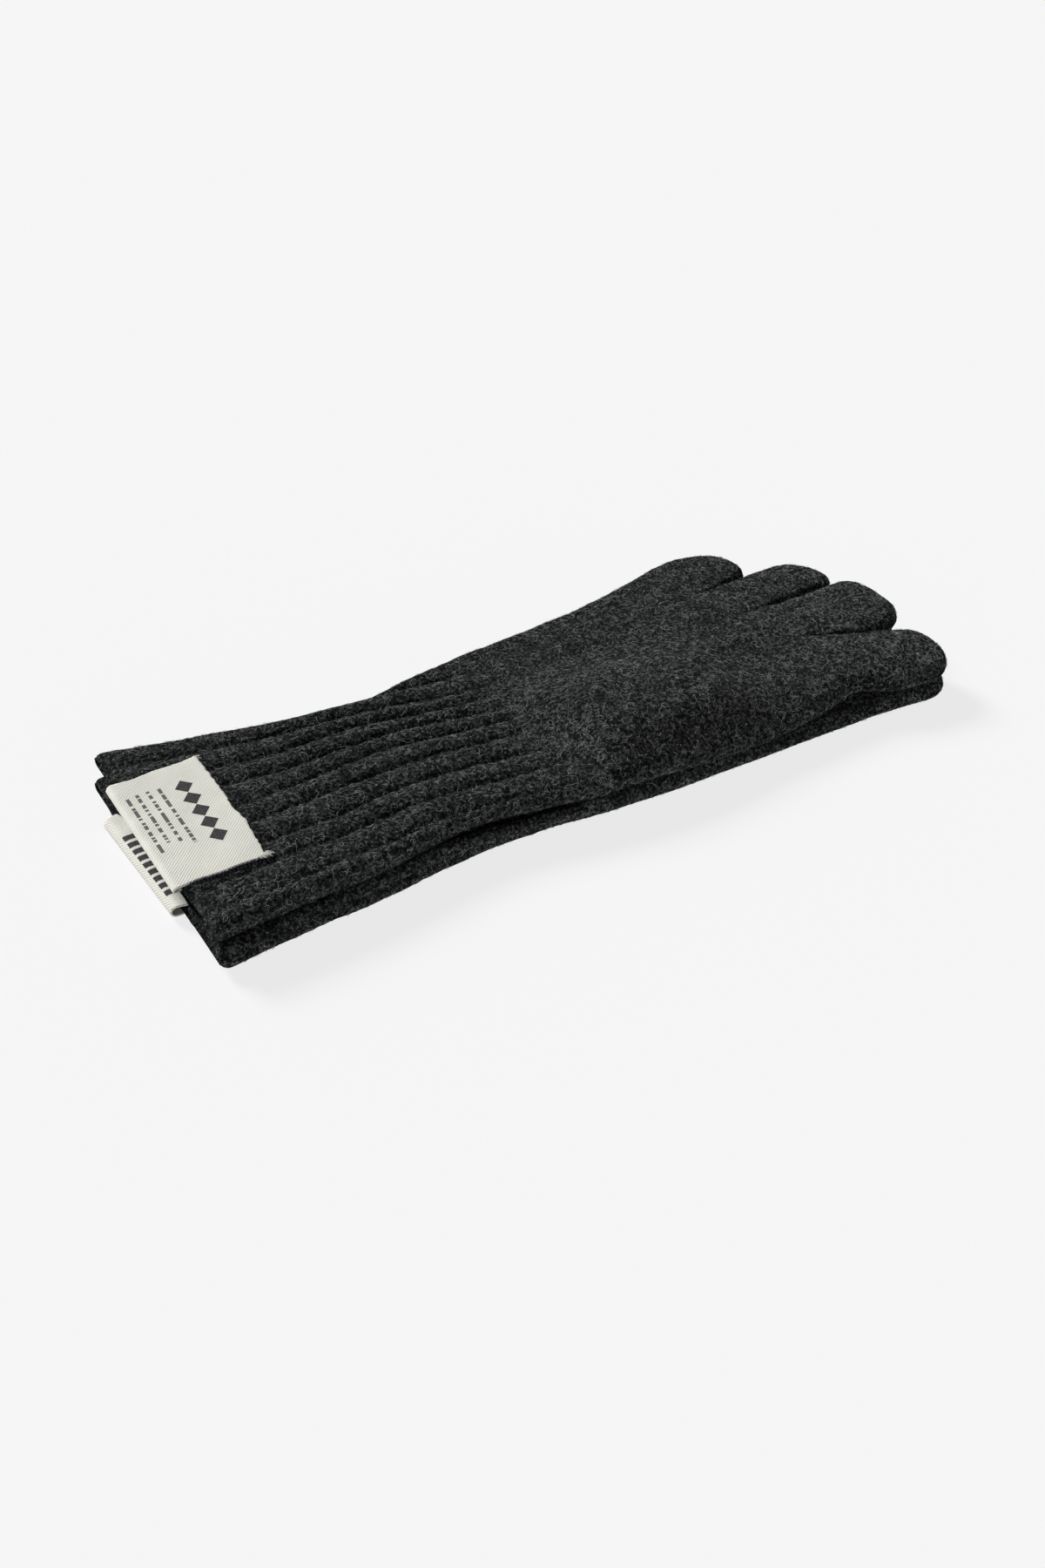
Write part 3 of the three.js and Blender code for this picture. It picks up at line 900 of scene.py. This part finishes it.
def twill(name):
    """Undyed woven twill with a row of diamonds, four rows of dashes and a row of blocks by the fold."""
    m = Nodes(name)
    place = m.put("ShaderNodeTexCoord").outputs["UV"]
    split = m.put("ShaderNodeSeparateXYZ", {0: place})
    s, v = (m.math("MULTIPLY", split.outputs[i], 1000.0) for i in (0, 1))
    ribs = []
    for a, b in ((5.8, 5.8), (5.8, -5.8)):
        wave = m.math("SINE", m.math("ADD", m.math("MULTIPLY", s, a), m.math("MULTIPLY", v, b)))
        ribs.append(m.math("MULTIPLY_ADD", wave, 0.5, 0.5))
    weave = m.math("MULTIPLY_ADD", ribs[0], 0.7, m.math("MULTIPLY", ribs[1], 0.3))
    grain = m.put("ShaderNodeTexNoise", {"Vector": place, "Scale": 1500.0, "Detail": 2.0}).outputs[0]
    blot = m.put("ShaderNodeTexNoise", {"Vector": place, "Scale": 130.0, "Detail": 2.0}).outputs[0]
    tone = m.math("MULTIPLY_ADD", grain, 0.26, m.math("MULTIPLY", blot, 0.30))
    tone = m.math("MULTIPLY_ADD", weave, 0.34, tone)
    cloth = m.put("ShaderNodeMix", {"Factor": m.math("MULTIPLY_ADD", tone, 1.5, -0.2),
                                    "A": (0.52, 0.51, 0.455, 1), "B": (0.75, 0.74, 0.68, 1)},
                  data_type="RGBA").outputs[2]

    def inside(value, middle, half):
        return m.math("LESS_THAN", m.math("ABSOLUTE", m.math("SUBTRACT", value, middle)), half)

    def both(a, b):
        return m.math("MULTIPLY", a, b)

    cell = m.math("FRACT", m.math("DIVIDE", m.math("ADD", v, 12.5), 6.48))
    point = m.math("MULTIPLY", m.math("ABSOLUTE", m.math("SUBTRACT", cell, 0.5)), 2.0)
    slope = m.math("DIVIDE", m.math("ABSOLUTE", m.math("SUBTRACT", s, 8.5)), 2.9)
    diamonds = both(m.math("LESS_THAN", m.math("ADD", point, slope), 0.99), inside(v, 3.76, 16.2))
    marks = diamonds
    for row, (at_s, reach) in enumerate(((15.4, 14.5), (18.8, 13.6), (22.1, 12.7), (25.2, 14.5))):
        dash = m.put("ShaderNodeTexNoise", {"W": m.math("MULTIPLY_ADD", v, 0.62, 17.0 * row), "Scale": 1.0,
                                            "Detail": 0.0}, noise_dimensions="1D").outputs[0]
        dashes = both(m.math("GREATER_THAN", dash, 0.44), inside(s, at_s, 0.55))
        marks = m.math("MAXIMUM", marks, m.math("MULTIPLY", both(dashes, inside(v, 20 - reach, reach)), 0.88))
    block = m.math("FRACT", m.math("DIVIDE", m.math("ADD", v, 14.0), 3.62))
    blocks = both(both(inside(s, 37.4, 2.5), m.math("LESS_THAN", block, 0.66)), inside(v, 1.5, 16.4))
    marks = m.math("MAXIMUM", marks, blocks)
    worn = m.math("MULTIPLY", marks, m.math("MULTIPLY_ADD", grain, 0.16, 0.89))
    colour = m.put("ShaderNodeMix", {"Factor": worn, "A": cloth, "B": (0.016, 0.014, 0.017, 1)},
                   data_type="RGBA")
    m.tree.links.new(colour.outputs[2], m.shader.inputs["Base Color"])
    bump = m.put("ShaderNodeBump", {"Height": m.math("ADD", weave, m.math("MULTIPLY", grain, 0.5)),
                                    "Strength": 0.45, "Distance": 0.00025})
    m.link(bump.outputs[0], "Normal")
    m.shader.inputs["Roughness"].default_value = 0.88
    m.shader.inputs["Specular IOR Level"].default_value = 0.15
    m.shader.inputs["Sheen Weight"].default_value = 0.08
    return m.material


def thread(name, dark, light):
    """Twisted sewing thread."""
    m = Nodes(name)
    place = m.put("ShaderNodeTexCoord").outputs["Object"]
    twist = m.put("ShaderNodeTexNoise", {"Vector": place, "Scale": 2600.0, "Detail": 2.0}).outputs[0]
    colour = m.put("ShaderNodeMix", {"Factor": m.ramp(twist, [(0.35, 0.0), (0.65, 1.0)]), "A": (*dark, 1),
                                     "B": (*light, 1)}, data_type="RGBA")
    m.tree.links.new(colour.outputs[2], m.shader.inputs["Base Color"])
    bump = m.put("ShaderNodeBump", {"Height": twist, "Strength": 0.4, "Distance": 0.0001})
    m.link(bump.outputs[0], "Normal")
    m.shader.inputs["Roughness"].default_value = 0.7
    return m.material


def plain(name, colour, roughness=0.9, glow=0.0):
    m = Nodes(name)
    m.shader.inputs["Emission Color"].default_value = (1, 1, 1, 1)
    m.shader.inputs["Emission Strength"].default_value = glow
    m.shader.inputs["Base Color"].default_value = (*colour, 1)
    m.shader.inputs["Roughness"].default_value = roughness
    m.shader.inputs["Specular IOR Level"].default_value = 0.0
    return m.material


WOOL = wool("wool_marl")
TWILL = twill("label_twill_weave")
THREAD = thread("label_dark_thread", (0.004, 0.005, 0.012), (0.03, 0.034, 0.06))
FIBRE = [
    plain("wool_fibre_pale", (0.35, 0.364, 0.359)),
    plain("wool_fibre_grey", (0.21, 0.219, 0.216)),
    plain("wool_fibre_black", (0.010, 0.0108, 0.0108)),
]
FRAY = thread("label_fray_thread", (0.45, 0.44, 0.39), (0.7, 0.69, 0.64))


def dress(ob, material):
    ob.data.materials.clear()
    ob.data.materials.append(material)
    return ob


# ---------------------------------------------------------------------------
# The gloves
# ---------------------------------------------------------------------------
def at(u, v, z):
    return tuple(Vector((u, v, z)) * MM + ORIGIN)


HAND_BODY = {UPPER: "upper_hand", LOWER: "lower_glove"}


def place_part(ob, glove, node):
    """Carries a hand piece, or the lower glove's cuff, on the glove's hand body; the other pieces stay where
    they are, their place baked into their meshes.
    """
    hand_body = HAND_BODY[glove]
    if node == "cuff" and glove == UPPER:
        at(WRIST, 0, 15)
        at(WRIST - 14, 0, 15)
        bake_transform(ob)
    elif node in ("cuff", "hand"):
        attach(ob, hand_body)
    elif node == "thumb":
        at(132, 0, 8)
        at(140, 0, 8)
        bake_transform(ob)
    else:
        at(ROOT, 0, 8)
        at(ROOT + 16, 0, 8)
        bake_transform(ob)


def open_air(glove):
    """Where a fibre may stand: not between the gloves, between the stalls, or under the label."""

    def keep(place, out):
        u, v, z = place.T
        if glove == UPPER:
            seen = (out[:, 2] > 0.15) | ((out[:, 2] > -0.5) & (z > HAND_THICK + 2.2))
        else:
            seen = (out[:, 2] < 0.5) & (out[:, 2] > -0.85) & (np.abs(out[:, 1]) > 0.3)
        seen &= (np.abs(out[:, 0]) < 0.7) | (u > 200)
        for parting in partings:
            seen &= ~((np.abs(v - parting(u)) < 1.3) & (u > ROOT))
        strip = LABEL[UPPER]
        label = (u < strip["outer"] + 2) & (v > strip["near"] - 2) & (v < strip["far"] + 2)
        return seen & ~label & (u > 2)

    return keep


for glove in (LOWER, UPPER):
    parts = {"cuff": cuff(glove), "hand": hand(glove), "thumb": thumb(glove)}
    parts.update({f"{finger}_finger": stall(glove, finger) for finger in FINGERS})
    for number, (node, ob) in enumerate(parts.items()):
        dress(ob, WOOL)
        if node != "thumb":
            hairs = fuzz(ob, FIBRES, open_air(glove), 100 * (glove == UPPER) + number)
            place_part(hairs, glove, node)
        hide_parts(f"{glove}_{node}")
        place_part(ob, glove, node)


for glove, body in ((UPPER, "upper_cuff"), (LOWER, "lower_glove")):
    tag = dress(label(glove), TWILL)
    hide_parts(f"{glove}_label")
    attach(tag, body)
    for end in ("far", "near"):
        row = dress(seam(glove, end), THREAD)
        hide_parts(f"{glove}_label_seam_{end}")
        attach(row, body)
    loose = dress(fray(glove), FRAY)
    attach(loose, body)


# ---------------------------------------------------------------------------
# Floor, light and camera
# ---------------------------------------------------------------------------
FLOOR_REACH = 6.0  # metres from the middle to a side
FLOOR_GLOW = 0.79
floor_mesh = bpy.data.meshes.new("floor")
corners = [(FLOOR_REACH * x, FLOOR_REACH * y, 0) for x, y in ((-1, -1), (1, -1), (1, 1), (-1, 1))]
floor_mesh.from_pydata(corners, [], [(0, 1, 2, 3)])
floor = bpy.data.objects.new("floor", floor_mesh)
bpy.context.scene.collection.objects.link(floor)
floor.location.z = -0.0002
floor.data.materials.append(plain("floor_paper", (0.12, 0.12, 0.12), glow=FLOOR_GLOW))


def sunlight(name, energy, angle, direction):
    """Soft light from far away; a wider angle gives softer shadows."""
    data = bpy.data.lights.new(name, "SUN")
    data.energy = energy
    data.angle = math.radians(angle)
    light = bpy.data.objects.new(name, data)
    bpy.context.scene.collection.objects.link(light)
    light.rotation_mode = "QUATERNION"
    light.rotation_quaternion = Vector(direction).to_track_quat("-Z", "Y")


sunlight("key", 4.9, 20, (0.34, -1.0, -0.72))
sunlight("fill", 0.65, 70, (0.2, 1.0, -0.16))

world = bpy.data.worlds.new("studio")
bpy.context.scene.world = world
world.use_nodes = True
tree = world.node_tree
direction = tree.nodes.new("ShaderNodeTexCoord")
split = tree.nodes.new("ShaderNodeSeparateXYZ")
fade = tree.nodes.new("ShaderNodeValToRGB")
# pale as the floor up to the first height above the horizon, then dim overhead
for element, (height, grey) in zip(fade.color_ramp.elements, ((0.215, 0.93), (0.36, 0.06))):
    element.position = height
    element.color = (grey, grey, grey, 1)
tree.links.new(direction.outputs["Generated"], split.inputs[0])
tree.links.new(split.outputs["Z"], fade.inputs[0])
tree.links.new(fade.outputs[0], tree.nodes["Background"].inputs[0])

bpy.context.scene.view_settings.view_transform = "Standard"

ELEVATION, AZIMUTH, DISTANCE = math.radians(38), math.radians(31), 0.545
target = ORIGIN + Vector((113.7, -16.0, 0)) * MM
look = Vector((math.sin(AZIMUTH) * math.cos(ELEVATION), math.cos(AZIMUTH) * math.cos(ELEVATION),
               -math.sin(ELEVATION)))
camera_data = bpy.data.cameras.new("camera")
camera_data.lens = 40
camera_data.sensor_width = 36
camera_data.clip_start = 0.01
camera_data.clip_end = 50
camera = bpy.data.objects.new("camera", camera_data)
bpy.context.scene.collection.objects.link(camera)
camera.location = target - look * DISTANCE
camera.rotation_mode = "QUATERNION"
camera.rotation_quaternion = look.to_track_quat("-Z", "Y")
bpy.context.scene.camera = camera
